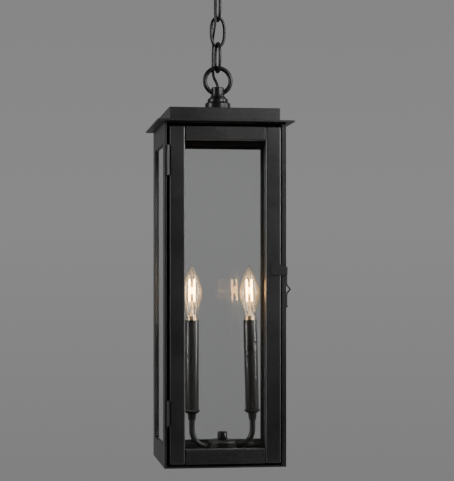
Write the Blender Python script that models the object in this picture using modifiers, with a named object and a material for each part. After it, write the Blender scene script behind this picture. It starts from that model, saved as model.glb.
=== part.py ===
"""Hanging lantern: a tall square metal lantern with a hinged front door, clear glass on four sides,
two candle lamps on a bottom cluster, and a short chain with its supply cord up to a ceiling canopy.

Metres, +Z up. The origin is the centre of the ceiling face of the canopy; the lantern hangs below it.
+X is to the right of someone facing the door, -Y is towards that person (the door side).
Heights inside the code are first given above the lantern's lowest face (in millimetres) and are
shifted down by H_TOTAL, so that the canopy's ceiling face lies at z = 0.
"""
import bpy
import bmesh
from math import atan2, cos, sin, pi, radians, sqrt
from mathutils import Vector, Matrix

for o in list(bpy.data.objects):
    bpy.data.objects.remove(o, do_unlink=True)

# ---------------------------------------------------------------- driving dimensions (mm)
H_TOTAL = 862.3          # lowest face of the lantern to the ceiling
W = 190.0                # body width and depth (square plan)
T_SHEET = 3.0            # side and back frame thickness
GAP = 0.3                # gap kept between touching pieces
H_BODY = 534.7           # height of the side frames
PLATE = 213.6            # drip plate, square
PLATE_Z0, PLATE_Z1 = 535.0, 537.8
CAP = 174.0              # roof cap, square
CAP_Z0, CAP_Z1 = 538.1, 558.2
CAP_T = 1.5
SIDE_WIN_Y = 70.0        # half width of a side window
SIDE_WIN_Z = (32.5, 502.0)
BACK_WIN_X = 85.5
BACK_WIN_Z = (25.3, 508.3)
DOOR_X = (-87.0, 87.0)
DOOR_Z = (5.5, 528.5)
DOOR_T = 12.7            # depth of the door's bars
STILE = 24.0
RAIL_TOP_Z0, RAIL_BOT_Z1 = 507.0, 29.0
GLASS_T = 2.5
PIVOT = (-89.6, -95.6)   # x, y of the door's hinge line
BETA = radians(11.0)     # how far the chain is turned about its own line
WIRE = 2.3               # chain wire radius
LINK_L, LINK_W = 50.5, 27.1
RING_R, RING_WIRE = 20.7, 3.5
RING_Z = 610.2
CLUSTER = (8.0, 5.0)     # x, y of the lamp cluster's axis
ARM_X = 49.2             # half the spacing of the candles
ARM_R = 4.6
ARM_BEND = 26.0
TILT = radians(-1.45)    # the right-hand candle leans in by this much
CORD_R = 2.2

MM = 0.001


def P(x, y, z):
    """A point in millimetres, z above the lantern's lowest face, as metres in the part's frame."""
    return Vector((x * MM, y * MM, (z - H_TOTAL) * MM))


# ---------------------------------------------------------------- collections and materials
parts = bpy.data.collections.new("hanging_lantern")
cutters = bpy.data.collections.new("cutters")
bpy.context.scene.collection.children.link(parts)
bpy.context.scene.collection.children.link(cutters)

_mats = {}


def material(name, color, rough, metal, alpha=1.0, transmission=0.0, emission=None):
    if name in _mats:
        return _mats[name]
    m = bpy.data.materials.new(name)
    m.use_nodes = True
    b = m.node_tree.nodes["Principled BSDF"]
    b.inputs["Base Color"].default_value = (*color, 1.0)
    b.inputs["Roughness"].default_value = rough
    b.inputs["Metallic"].default_value = metal
    b.inputs["Transmission Weight"].default_value = transmission
    b.inputs["Alpha"].default_value = alpha
    if emission:
        b.inputs["Emission Color"].default_value = (*emission, 1.0)
        b.inputs["Emission Strength"].default_value = 5.0
    _mats[name] = m
    return m


BLACK = dict(color=(0.018, 0.018, 0.019), rough=0.5, metal=0.3)


def black(part):
    return material(part + "_paint", **BLACK)


def steel(part):
    return material(part + "_steel", (0.42, 0.41, 0.39), 0.35, 1.0)


def brass(part):
    return material(part + "_brass", (0.62, 0.48, 0.26), 0.3, 1.0)


def glass(part):
    return material(part + "_clear_glass", (0.95, 0.97, 0.97), 0.02, 0.0, 1.0, 1.0)


# ---------------------------------------------------------------- builders
def adopt(o, name, mat=None, cutter=False):
    o.name = name
    o.data.name = name
    for c in list(o.users_collection):
        c.objects.unlink(o)
    (cutters if cutter else parts).objects.link(o)
    if mat:
        o.data.materials.clear()
        o.data.materials.append(mat)
    if cutter:
        o.hide_render = True
        o.display_type = "WIRE"
    return o


def apply_scale(o):
    s = Matrix.Diagonal((*o.scale, 1.0))
    o.data.transform(s)
    o.scale = (1, 1, 1)


def box(name, lo, hi, mat=None, bevel=0.0, segments=1, cutter=False):
    """A box between two corners given in millimetres."""
    bpy.ops.mesh.primitive_cube_add(size=1.0)
    o = bpy.context.object
    a, b = P(*lo), P(*hi)
    o.location = (a + b) / 2
    o.scale = (b - a)
    apply_scale(o)
    adopt(o, name, mat, cutter)
    if bevel:
        m = o.modifiers.new("edges", "BEVEL")
        m.width = bevel * MM
        m.segments = segments
        m.limit_method = "ANGLE"
    return o


def cylinder(name, r, z0, z1, x=0.0, y=0.0, mat=None, verts=20, cutter=False, axis="Z"):
    bpy.ops.mesh.primitive_cylinder_add(vertices=verts, radius=r * MM, depth=(z1 - z0) * MM)
    o = bpy.context.object
    if axis == "Z":
        o.location = P(x, y, (z0 + z1) / 2)
    adopt(o, name, mat, cutter)
    smooth(o)
    return o


def smooth(o):
    o.data.shade_smooth()
    o.data.set_sharp_from_angle(angle=radians(35))


def cut(o, *tools):
    for t in tools:
        m = o.modifiers.new("cut_" + t.name, "BOOLEAN")
        m.operation = "DIFFERENCE"
        m.object = t
        m.solver = "EXACT"
    return o


def join(o, *tools):
    for t in tools:
        m = o.modifiers.new("join_" + t.name, "BOOLEAN")
        m.operation = "UNION"
        m.object = t
        m.solver = "EXACT"
    return o


def turned(name, profile, mat=None, steps=20, x=0.0, y=0.0, z=0.0, cutter=False, parent=None):
    """A turned piece. profile runs down the outer side; points are (radius, height) in mm.
    A profile that starts and ends at radius 0 is solid, any other is closed into a ring."""
    me = bpy.data.meshes.new(name)
    o = bpy.data.objects.new(name, me)
    bm = bmesh.new()
    vs = [bm.verts.new((r * MM, 0.0, h * MM)) for r, h in profile]
    for a, b in zip(vs, vs[1:]):
        bm.edges.new((a, b))
    if not (profile[0][0] == 0.0 and profile[-1][0] == 0.0):
        bm.edges.new((vs[-1], vs[0]))
    bm.to_mesh(me)
    bm.free()
    (cutters if cutter else parts).objects.link(o)
    s = o.modifiers.new("turn", "SCREW")
    s.angle = 2 * pi
    s.steps = s.render_steps = steps
    s.use_merge_vertices = True
    s.merge_threshold = 0.00001
    s.use_smooth_shade = True
    if parent is not None:
        o.parent = parent
        o.location = (x * MM, y * MM, z * MM)
    else:
        o.location = P(x, y, z)
    if mat:
        me.materials.append(mat)
    if cutter:
        o.hide_render = True
        o.display_type = "WIRE"
    return o


def wire_curve(name, points, radius, mat=None, cyclic=False, bevel_resolution=2, cutter=False):
    """A round wire along points (metres)."""
    cu = bpy.data.curves.new(name, "CURVE")
    cu.dimensions = "3D"
    cu.bevel_depth = radius * MM
    cu.bevel_resolution = bevel_resolution
    cu.use_fill_caps = True
    sp = cu.splines.new("POLY")
    sp.points.add(len(points) - 1)
    for p, q in zip(sp.points, points):
        p.co = (*q, 1.0)
    sp.use_cyclic_u = cyclic
    sp.use_smooth = True
    o = bpy.data.objects.new(name, cu)
    (cutters if cutter else parts).objects.link(o)
    if mat:
        cu.materials.append(mat)
    if cutter:
        o.hide_render = True
        o.display_type = "WIRE"
    return o


def as_mesh(o):
    """A curve object made into a mesh object with welded caps."""
    bpy.context.view_layer.update()
    dg = bpy.context.evaluated_depsgraph_get()
    me = bpy.data.meshes.new_from_object(o.evaluated_get(dg))
    bm = bmesh.new()
    bm.from_mesh(me)
    bmesh.ops.remove_doubles(bm, verts=bm.verts, dist=1e-6)
    bmesh.ops.recalc_face_normals(bm, faces=bm.faces)
    bm.to_mesh(me)
    bm.free()
    name, coll = o.name, o.users_collection[0]
    hidden, shown = o.hide_render, o.display_type
    world = o.matrix_world.copy()
    bpy.data.objects.remove(o, do_unlink=True)
    n = bpy.data.objects.new(name, me)
    n.name = name
    n.matrix_world = world
    n.hide_render, n.display_type = hidden, shown
    coll.objects.link(n)
    return n


def outline(name, points, thickness, holes=(), mat=None, cutter=False):
    """A flat outline in its own XY plane (mm), thickness along its own Z, centred."""
    cu = bpy.data.curves.new(name, "CURVE")
    cu.dimensions = "2D"
    cu.fill_mode = "BOTH"
    cu.extrude = thickness * MM / 2
    for loop in (points, *holes):
        sp = cu.splines.new("POLY")
        sp.points.add(len(loop) - 1)
        for p, (a, b) in zip(sp.points, loop):
            p.co = (a * MM, b * MM, 0, 1)
        sp.use_cyclic_u = True
    o = bpy.data.objects.new(name, cu)
    (cutters if cutter else parts).objects.link(o)
    if mat:
        cu.materials.append(mat)
    return o


def circle(r, n=16, x=0.0, y=0.0, start=0.0):
    return [(x + r * cos(start + 2 * pi * i / n), y + r * sin(start + 2 * pi * i / n)) for i in range(n)]


def smooth_route(ctrl, count):
    """Points at even spacing along a Catmull-Rom curve through ctrl."""
    pts = [Vector(c) for c in ctrl]
    pts = [2 * pts[0] - pts[1]] + pts + [2 * pts[-1] - pts[-2]]
    dense = []
    for i in range(1, len(pts) - 2):
        p0, p1, p2, p3 = pts[i - 1:i + 3]
        for k in range(20):
            t = k / 20
            dense.append(0.5 * ((2 * p1) + (p2 - p0) * t + (2 * p0 - 5 * p1 + 4 * p2 - p3) * t * t
                                + (3 * p1 - p0 - 3 * p2 + p3) * t ** 3))
    dense.append(pts[-2])
    run = [0.0]
    for a, b in zip(dense, dense[1:]):
        run.append(run[-1] + (b - a).length)
    out, j = [], 0
    for i in range(count):
        s = run[-1] * i / (count - 1)
        while j < len(run) - 2 and run[j + 1] < s:
            j += 1
        f = (s - run[j]) / max(run[j + 1] - run[j], 1e-9)
        out.append(dense[j].lerp(dense[j + 1], min(max(f, 0), 1)))
    return out, run[-1]


def turned_about_chain(a, b, z):
    """Chain coordinates: a along a front-facing link's width, b across it; turned by BETA."""
    return P(a * cos(BETA) - b * sin(BETA), a * sin(BETA) + b * cos(BETA), z)


# ---------------------------------------------------------------- body frames
H = W / 2

def side_frame(name, sx):
    x0, x1 = (sx * H, sx * (H - T_SHEET))
    o = box(name, (min(x0, x1), -H, 0), (max(x0, x1), H, H_BODY), black(name))
    win = box(name + "_window", (min(x0, x1) - 5, -SIDE_WIN_Y, SIDE_WIN_Z[0]),
              (max(x0, x1) + 5, SIDE_WIN_Y, SIDE_WIN_Z[1]), cutter=True)
    return cut(o, win)


side_frame("left_side_frame", -1)
side_frame("right_side_frame", 1)

inner = H - T_SHEET - GAP
back = box("back_frame", (-inner, H - T_SHEET, 0), (inner, H, H_BODY), black("back_frame"))
cut(back, box("back_window", (-BACK_WIN_X, H - 10, BACK_WIN_Z[0]), (BACK_WIN_X, H + 10, BACK_WIN_Z[1]), cutter=True))

# the plate that the door closes against, set back by the door's depth; its window clears the door's glass
front = box("front_frame", (-inner, -H + 13.2, 2.3), (inner, -H + 15.2, H_BODY), black("front_frame"))
cut(front, box("front_window", (-75, -H + 5, 15), (75, -H + 25, 521), cutter=True))

# a flat bar on edge beside the latch stile, which fills the side gap up to the door's face
box("strike_bar", (88.2, -H + 0.6, 2.3), (inner, -H + 12.9, H_BODY - 0.3), black("strike_bar"))

box("base_pan", (-inner, -H + 0.3, 0), (inner, H - T_SHEET - GAP, 2.0), black("base_pan"))

# ---------------------------------------------------------------- fixed glass and its stops
def pane(name, lo, hi):
    return box(name, lo, hi, glass(name))


def stop_frame(name, lo, hi, strip, axis):
    """A rectangular frame of thin strip that holds a pane; axis is the thin direction."""
    o = box(name, lo, hi, black(name))
    l, h = list(lo), list(hi)
    for i in range(3):
        if i == axis:
            l[i] -= 5
            h[i] += 5
        else:
            l[i] += strip
            h[i] -= strip
    return cut(o, box(name + "_opening", l, h, cutter=True))


gx = H - T_SHEET - GAP          # face that the glass lies against
pane("left_glass", (-gx, -76, 24), (-gx + GLASS_T, 76, 510))
pane("right_glass", (gx - GLASS_T, -76, 24), (gx, 76, 510))
pane("back_glass", (-88.5, gx - GLASS_T, 15), (88.5, gx, 518))
sx = gx - GLASS_T - GAP
stop_frame("left_glass_stop", (-sx, -78, 21), (-sx + 1.5, 78, 513), 7.5, 0)
stop_frame("right_glass_stop", (sx - 1.5, -78, 21), (sx, 78, 513), 7.5, 0)
stop_frame("back_glass_stop", (-88.0, sx - 1.5, 14), (88.0, sx, 519), 4.5, 1)

# ---------------------------------------------------------------- roof
plate = box("drip_plate", (-PLATE / 2, -PLATE / 2, PLATE_Z0), (PLATE / 2, PLATE / 2, PLATE_Z1), black("drip_plate"))

cap = box("roof_cap", (-CAP / 2, -CAP / 2, CAP_Z0), (CAP / 2, CAP / 2, CAP_Z1), black("roof_cap"))
cut(cap, box("cap_inside", (-CAP / 2 + CAP_T, -CAP / 2 + CAP_T, CAP_Z0 - 5),
             (CAP / 2 - CAP_T, CAP / 2 - CAP_T, CAP_Z1 - CAP_T), cutter=True),
    cylinder("cap_hole", 5.3, CAP_Z1 - 10, CAP_Z1 + 10, cutter=True, verts=16))

# ---------------------------------------------------------------- loop on the roof
turned("loop_collar", [(12.0, 582.0), (15.2, 581.6), (16.3, 580.4), (16.3, 575.6), (18.6, 575.2), (20.3, 573.4),
                       (20.3, CAP_Z1 + GAP), (5.3, CAP_Z1 + GAP), (5.3, 582.0)], black("loop_collar"), steps=28)

RING_N = 32
ring_pts = [P(RING_R * sin(2 * pi * i / RING_N), 0, RING_Z + RING_R * cos(2 * pi * i / RING_N)) for i in range(RING_N)]
ring_tool = as_mesh(wire_curve("loop_ring", ring_pts, RING_WIRE, cyclic=True, bevel_resolution=3, cutter=True))
loop = turned("hanging_loop", [(0.0, 599.8), (8.8, 599.8), (9.9, 599.0), (9.9, 588.4), (10.6, 587.6), (10.6, 585.4),
                               (12.7, 583.6), (12.7, 582.3), (0.0, 582.3)], black("hanging_loop"), steps=24)
join(loop, ring_tool)
cut(loop, cylinder("loop_bore", 5.3, 575, 605, cutter=True, verts=16))

turned("top_nipple", [(3.3, 593.0), (4.9, 593.0), (4.9, 543.0), (3.3, 543.0)], steel("top_nipple"), steps=16)
top_nut = outline("top_nut", circle(9.2, 6), 5.0, [circle(5.2, 16)], steel("top_nut"))
top_nut.location = P(0, 0, 551.6)
turned("top_washer", [(5.3, 556.3), (11.5, 556.3), (11.5, 554.5), (5.3, 554.5)], steel("top_washer"), steps=20)

# ---------------------------------------------------------------- canopy at the ceiling
CZ = H_TOTAL
turned("ceiling_canopy", [(63.5, CZ), (63.5, CZ - 3), (61.8, CZ - 9), (52.0, CZ - 17), (35.0, CZ - 22), (16.0, CZ - 24),
                          (5.4, CZ - 24), (5.4, CZ - 22.5), (16.0, CZ - 22.5), (34.4, CZ - 20.5), (50.8, CZ - 15.7),
                          (60.0, CZ - 8.3), (61.8, CZ - 3), (61.8, CZ)], black("ceiling_canopy"), steps=32)
bar = box("crossbar", (-50, -10, CZ - 2.5), (50, 10, CZ), steel("crossbar"))
cut(bar, cylinder("crossbar_hole", 5.3, CZ - 10, CZ + 5, cutter=True, verts=16))
turned("canopy_nipple", [(3.3, CZ - 0.3), (4.9, CZ - 0.3), (4.9, CZ - 38), (3.3, CZ - 38)], steel("canopy_nipple"), steps=16)
nut = outline("canopy_nut", circle(9.2, 6), 5.0, [circle(5.2, 16)], steel("canopy_nut"))
nut.location = P(0, 0, CZ - 5.3)
turned("canopy_collar", [(5.4, CZ - 24.3), (15.0, CZ - 24.3), (16.0, CZ - 25.2), (16.0, CZ - 29.6), (15.0, CZ - 30.6),
                         (5.4, CZ - 30.6)], black("canopy_collar"), steps=28)

# chain heights, from the lantern's ring up: each link hangs in the one above with a small clearance
inner_top = RING_Z + RING_R - RING_WIRE
link_z = []
z = inner_top - GAP - 2 * WIRE                      # lowest point of the first link
for i in range(4):
    link_z.append(z + LINK_L / 2)
    z = z + LINK_L - 2 * WIRE - GAP - 2 * WIRE
CANOPY_RING_Z = z + 2 * WIRE - 2 * RING_WIRE + RING_WIRE + RING_R + 0.0


def link_points(zc, facing, n=9):
    """Centre line of an oval link. facing 0: its width lies along a (front-facing); 1: along b."""
    r = LINK_W / 2 - WIRE
    s = LINK_L / 2 - WIRE - r
    out = []
    for i in range(n):
        t = pi * i / (n - 1)
        out.append((r * cos(t), s + r * sin(t)))
    for i in range(n):
        t = pi + pi * i / (n - 1)
        out.append((r * cos(t), -s + r * sin(t)))
    return [turned_about_chain(u if facing == 0 else 0.0, u if facing == 1 else 0.0, zc + v) for u, v in out]


for i, zc in enumerate(link_z):
    name = "chain_link_%d" % (4 - i)                # link 1 hangs from the canopy
    wire_curve(name, link_points(zc, facing=(i + 1) % 2), WIRE, black(name), cyclic=True, bevel_resolution=2)

cr_pts = [turned_about_chain(0, RING_R * sin(2 * pi * i / RING_N), CANOPY_RING_Z + RING_R * cos(2 * pi * i / RING_N))
          for i in range(RING_N)]
cring = as_mesh(wire_curve("canopy_loop_ring", cr_pts, RING_WIRE, cyclic=True, bevel_resolution=3, cutter=True))
cloop = turned("canopy_loop", [(0.0, CZ - 30.9), (12.7, CZ - 30.9), (12.7, CZ - 32.2), (10.6, CZ - 34.0), (10.6, CZ - 36.2),
                               (9.9, CZ - 37.0), (9.9, CZ - 43.6), (8.8, CZ - 44.6), (0.0, CZ - 44.6)],
               black("canopy_loop"), steps=24)
join(cloop, cring)
cut(cloop, cylinder("canopy_loop_bore", 5.3, CZ - 50, CZ - 25, cutter=True, verts=16))

# ---------------------------------------------------------------- supply cord, woven through the chain
zB, zC, zD, zE = link_z
A = -6.2
route = [(0, 0, 549), (0, 0, 575), (0, 0, 598), (-1.2, 1.4, 606), (-4.6, 5.8, 616.5), (-5.6, 7.6, 625), (-5.8, 7.6, 635),
         (A, 6.6, zB), (A, 5.7, zC - 25), (A, 5.7, zC - 14), (A, 0, zC), (A, -5.7, zC + 14), (A, -5.7, zC + 25),
         (A, -5.8, zD), (A, -5.7, zE - 25), (A, -5.7, zE - 14), (A, 0, zE), (A, 5.7, zE + 13), (A, 5.8, zE + 25),
         (-4.6, 4.2, zE + 36), (-1.2, 1.0, zE + 45), (0, 0, zE + 53), (0, 0, CZ - 30), (0, 0, CZ - 12), (0, 0, CZ - 2.8)]
cord_pts, cord_len = smooth_route([turned_about_chain(*q) for q in route], 76)
wire_curve("supply_cord", cord_pts, CORD_R, material("supply_cord_pvc", (0.02, 0.02, 0.02), 0.45, 0.0), bevel_resolution=2)

# ---------------------------------------------------------------- door
y0 = -H
BAR_T = 1.6              # wall of the folded bars


def bar(name, lo, hi, bevel=0.0, ends=True):
    """A bar folded from sheet: a box with a pocket that is open at the back."""
    o = box(name, lo, hi, black(name), bevel=bevel, segments=2)
    pocket = box(name + "_pocket", (lo[0] + BAR_T, lo[1] + BAR_T, lo[2] + BAR_T),
                 (hi[0] - BAR_T, hi[1] + 5, hi[2] - BAR_T), cutter=True)
    return cut(o, pocket)


bar("door_stile_left", (DOOR_X[0], y0, DOOR_Z[0]), (DOOR_X[0] + STILE, y0 + DOOR_T, DOOR_Z[1]), bevel=2.0)
bar("door_stile_right", (DOOR_X[1] - STILE, y0, DOOR_Z[0]), (DOOR_X[1], y0 + DOOR_T, DOOR_Z[1]), bevel=2.0)
rx = DOOR_X[1] - STILE - GAP
bar("door_rail_top", (-rx, y0 + 0.6, RAIL_TOP_Z0), (rx, y0 + DOOR_T, DOOR_Z[1]))
bar("door_rail_bottom", (-rx, y0 + 0.6, DOOR_Z[0]), (rx, y0 + DOOR_T, RAIL_BOT_Z1))
dy = y0 + DOOR_T + GAP
pane("door_glass", (-71, dy, 20), (71, dy + GLASS_T, 516))
stop_frame("door_glass_stop", (-73, dy + GLASS_T + GAP, 17), (73, dy + GLASS_T + GAP + 1.5, 519), 9.5, 1)

# hinges: each leaf is a barrel with a plate, cut from one profile; the pin runs in both barrels
def hinge_leaf(name, z0, z1, near, far):
    """A barrel round the hinge line with a plate that runs back between near and far (x offsets)."""
    r_out, r_in, plate_len, n = 2.1, 1.35, 11.0, 20
    lo, hi = sorted((near, far))

    def angle(x):
        x = max(-r_out, min(r_out, x))
        return atan2(sqrt(r_out ** 2 - x ** 2), x)
    start, end = angle(lo), angle(hi) + 2 * pi
    pts = [(r_out * cos(start + (end - start) * i / n), r_out * sin(start + (end - start) * i / n)) for i in range(n + 1)]
    if abs(hi) > r_out:
        pts.append((hi, 1.0))
    pts += [(hi, plate_len), (lo, plate_len)]
    o = outline(name, pts, z1 - z0, [circle(r_in, 14)], black(name))
    o.location = P(PIVOT[0], PIVOT[1], (z0 + z1) / 2)
    return o


hinge_leaf("hinge_top_frame_leaf", 477.7, 498.5, -1.0, -2.0)
hinge_leaf("hinge_top_door_leaf", 452.2, 477.4, 1.3, 2.3)
hinge_leaf("hinge_bottom_door_leaf", 86.2, 104.5, 1.3, 2.3)
hinge_leaf("hinge_bottom_frame_leaf", 65.6, 85.9, -1.0, -2.0)
cylinder("hinge_pin_top", 1.05, 452.8, 498.2, PIVOT[0], PIVOT[1], steel("hinge_pin_top"), verts=12)
cylinder("hinge_pin_bottom", 1.05, 65.9, 103.9, PIVOT[0], PIVOT[1], steel("hinge_pin_bottom"), verts=12)

# latch: a bracket bent round the right-hand edge, and a kinked spring strip that hangs from it
BR_Y = y0 - GAP - 1.2
bracket = outline("latch_bracket", [(71.5, 0.0), (96.8, 0.0), (96.8, 12.8), (88.6, 12.8), (84.4, 19.6), (71.5, 19.6)], 1.2,
                mat=black("latch_bracket"))
bracket.rotation_euler = (pi / 2, 0, 0)
bracket.location = P(0, BR_Y + 0.6, 298.3)
bracket = as_mesh(bracket)
bracket.data.materials.clear()
bracket.data.materials.append(black("latch_bracket"))
join(bracket, box("latch_flange", (95.5, BR_Y + 0.6, 298.3), (96.8, y0 + 14.0, 311.1), cutter=True))

SP_X = 95.6
def strip_profile():
    """Centre line (x, z) of the spring strip from its root down to its turned-out tip."""
    return [(SP_X + 0.6, 297.9), (SP_X + 0.6, 283.6), (SP_X + 6.6, 275.9), (SP_X + 0.6, 268.9), (SP_X + 0.6, 252.0), (SP_X + 2.0, 248.0)]


def thick_line(pts, t):
    left, right = [], []
    for i, (x, z) in enumerate(pts):
        d = Vector((0.0, 0.0))
        if i > 0:
            d += (Vector(pts[i]) - Vector(pts[i - 1])).normalized()
        if i < len(pts) - 1:
            d += (Vector(pts[i + 1]) - Vector(pts[i])).normalized()
        d.normalize()
        n = Vector((-d.y, d.x))
        k = 1.0
        if 0 < i < len(pts) - 1:
            seg = (Vector(pts[i + 1]) - Vector(pts[i])).normalized()
            k = 1.0 / max(abs(n.dot(Vector((-seg.y, seg.x)))), 0.5)
        left.append((x + n.x * t / 2 * k, z + n.y * t / 2 * k))
        right.append((x - n.x * t / 2 * k, z - n.y * t / 2 * k))
    return left + right[::-1]


strip = outline("latch_spring", [(x - SP_X, z - 275) for x, z in thick_line(strip_profile(), 1.2)], 9.0, mat=black("latch_spring"))
strip.rotation_euler = (pi / 2, 0, 0)
strip.location = P(SP_X, y0 + 6.0, 275)

# ---------------------------------------------------------------- lamp cluster
cx, cy = CLUSTER
hub = turned("cluster_hub", [(0.0, 34.0), (18.6, 34.0), (20.0, 33.2), (20.2, 32.2), (22.0, 31.2), (22.3, 30.0), (22.3, 2.3),
                             (20.5, 2.3), (20.5, 29.8), (18.4, 31.8), (0.0, 31.8)],
             black("cluster_hub"), steps=32, x=cx, y=cy)
turned("hub_knob", [(0.0, 46.6), (6.6, 46.6), (7.8, 45.6), (7.8, 36.2), (7.2, 34.3), (0.0, 34.3)], black("hub_knob"), steps=24, x=cx, y=cy)


def arm(name, side):
    n = 9
    xa = cx + side * ARM_X
    zc = 23.4
    pts = [P(cx + side * 22.7, cy, zc)]
    for i in range(n):
        t = pi / 2 * i / (n - 1)
        pts.append(P(xa - side * ARM_BEND + side * ARM_BEND * sin(t), cy, zc + ARM_BEND - ARM_BEND * cos(t)))
    pts.append(P(xa, cy, zc + ARM_BEND + 14))
    pts.append(P(xa, cy, 70.5))
    if side * (pts[1].x - pts[0].x) < 0.0008:
        pts.pop(1)
    return wire_curve(name, pts, ARM_R, black(name), bevel_resolution=2)


arm("arm_left", -1)
arm("arm_right", 1)


def candle(side, word, tilt):
    """Cup, sleeve, lampholder and lamp on one arm; local heights are above the cup's lowest edge."""
    e = bpy.data.objects.new("candle_axis_" + word, None)
    parts.objects.link(e)
    e.location = P(cx + side * ARM_X, cy, 65.4)
    e.rotation_euler = (0, tilt, 0)
    turned("cup_" + word, [(13.0, 16.2), (13.0, 14.6), (11.2, 12.6), (7.6, 10.6), (6.8, 9.6), (5.9, 0.0), (5.05, 0.0),
                           (5.05, 7.5), (5.05, 10.0), (10.6, 14.2), (11.6, 16.2)], black("cup_" + word), steps=24, parent=e)
    turned("lampholder_" + word, [(0.0, 152.0), (9.6, 152.0), (9.6, 122.0), (5.0, 118.0), (4.4, 10.6), (0.0, 10.6)],
           material("lampholder_" + word + "_plastic", (0.03, 0.03, 0.03), 0.5, 0.0), steps=16, parent=e)
    turned("sleeve_" + word, [(10.1, 161.0), (11.0, 161.0), (11.0, 16.5), (10.1, 16.5)], black("sleeve_" + word), steps=28, parent=e)
    turned("lamp_base_" + word, [(0.0, 167.2), (8.7, 167.2), (8.7, 158.4), (6.0, 156.4), (6.0, 152.3), (0.0, 152.3)],
           brass("lamp_base_" + word), steps=20, parent=e)
    o = [(9.2, 167.5), (10.8, 176.9), (13.1, 186.5), (15.2, 194.8), (16.2, 203.6), (15.4, 211.5), (13.0, 220.0), (9.4, 231.5),
         (5.6, 240.0), (2.6, 245.6), (0.9, 248.6)]
    t = 0.9
    outer = [(0.0, 248.9)] + [(r, h) for r, h in reversed(o)]
    inside = [(r - t, h) for r, h in o[:8]] + [(4.6, 239.6), (1.2, 246.0), (0.0, 247.0)]
    turned("lamp_glass_" + word, outer + inside, glass("lamp_glass_" + word), steps=24, parent=e)
    f = turned("filament_" + word, [(0.0, 192.0), (7.0, 191.6), (7.0, 190.4), (2.2, 189.6), (2.6, 172.0), (6.5, 168.2), (6.5, 167.6), (0.0, 167.6)],
               material("filament_" + word + "_light", (1.0, 0.75, 0.45), 0.5, 0.0, emission=(1.0, 0.62, 0.28)), steps=16, parent=e)
    for k in range(4):
        a = pi / 4 + k * pi / 2
        rod = turned("filament_rod_%s_%d" % (word, k), [(0.0, 226.0), (0.9, 226.0), (0.9, 191.0), (0.0, 191.0)], steps=8,
                     x=5.6 * cos(a), y=5.6 * sin(a), cutter=True, parent=e)
        join(f, rod)
    return e


candle(-1, "left", 0.0)
candle(1, "right", TILT)
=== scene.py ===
"""Hanging lantern: the finished surfaces of every piece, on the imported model's frame."""
from math import atan2, cos, sin, pi, radians, sqrt
import bpy
import bmesh
from mathutils import Matrix, Vector


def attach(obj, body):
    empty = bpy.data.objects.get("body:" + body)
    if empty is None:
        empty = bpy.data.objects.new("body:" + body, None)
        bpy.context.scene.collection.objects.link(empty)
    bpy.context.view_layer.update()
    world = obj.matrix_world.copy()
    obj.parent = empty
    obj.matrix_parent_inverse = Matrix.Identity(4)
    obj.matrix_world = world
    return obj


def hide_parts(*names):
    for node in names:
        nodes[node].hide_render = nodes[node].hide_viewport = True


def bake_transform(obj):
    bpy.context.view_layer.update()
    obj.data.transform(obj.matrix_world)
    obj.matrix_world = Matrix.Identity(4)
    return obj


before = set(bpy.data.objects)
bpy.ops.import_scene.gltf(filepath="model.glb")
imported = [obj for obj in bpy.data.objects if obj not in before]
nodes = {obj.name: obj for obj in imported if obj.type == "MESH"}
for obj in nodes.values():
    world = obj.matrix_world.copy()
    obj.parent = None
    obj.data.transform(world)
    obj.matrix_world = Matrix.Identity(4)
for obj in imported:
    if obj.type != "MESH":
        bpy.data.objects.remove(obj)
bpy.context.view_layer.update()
MM = 0.001
H_TOTAL = 862.3
BETA = radians(11.0)


def P(x, y, z):
    """Millimetres, z above the lantern's lowest face, to the row frame in metres."""
    return Vector((x * MM, y * MM, (z - H_TOTAL) * MM))


def about_chain(a, b, z):
    return P(a * cos(BETA) - b * sin(BETA), a * sin(BETA) + b * cos(BETA), z)


# ------------------------------------------------------------------ camera
cam_data = bpy.data.cameras.new("camera")
cam = bpy.data.objects.new("camera", cam_data)
bpy.context.scene.collection.objects.link(cam)
cam.location = (-0.3242, -2.4536, -0.5710)
cam.rotation_euler = (pi / 2, 0, -0.1374)
cam_data.sensor_width = 36.0
cam_data.lens = 115.27
cam_data.shift_x = 0.0
cam_data.shift_y = 0.0810
cam_data.clip_end = 50.0
bpy.context.scene.camera = cam


# ------------------------------------------------------------------ materials
def new_material(name):
    m = bpy.data.materials.new(name)
    m.use_nodes = True
    nt = m.node_tree
    return m, nt, nt.nodes["Principled BSDF"]


def node(nt, kind, **values):
    n = nt.nodes.new(kind)
    for k, v in values.items():
        setattr(n, k, v)
    return n


def coords(nt):
    return node(nt, "ShaderNodeTexCoord").outputs["Object"]


def noise(nt, co, scale, detail=3.0, rough=0.5):
    n = node(nt, "ShaderNodeTexNoise")
    n.inputs["Scale"].default_value = scale
    n.inputs["Detail"].default_value = detail
    n.inputs["Roughness"].default_value = rough
    nt.links.new(co, n.inputs["Vector"])
    return n.outputs["Fac"]


def ramp(nt, fac, stops):
    r = node(nt, "ShaderNodeValToRGB")
    while len(r.color_ramp.elements) < len(stops):
        r.color_ramp.elements.new(0.5)
    for e, (p, c) in zip(r.color_ramp.elements, stops):
        e.position = p
        e.color = (*c, 1.0) if len(c) == 3 else c
    nt.links.new(fac, r.inputs["Fac"])
    return r.outputs["Color"]


def spread(nt, fac, lo, hi):
    m = node(nt, "ShaderNodeMapRange")
    m.inputs["From Min"].default_value = 0.3
    m.inputs["From Max"].default_value = 0.7
    m.inputs["To Min"].default_value = lo
    m.inputs["To Max"].default_value = hi
    nt.links.new(fac, m.inputs["Value"])
    return m.outputs["Result"]


def bump(nt, bsdf, height, strength, distance):
    b = node(nt, "ShaderNodeBump")
    b.inputs["Strength"].default_value = strength
    b.inputs["Distance"].default_value = distance
    nt.links.new(height, b.inputs["Height"])
    nt.links.new(b.outputs["Normal"], bsdf.inputs["Normal"])


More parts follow.
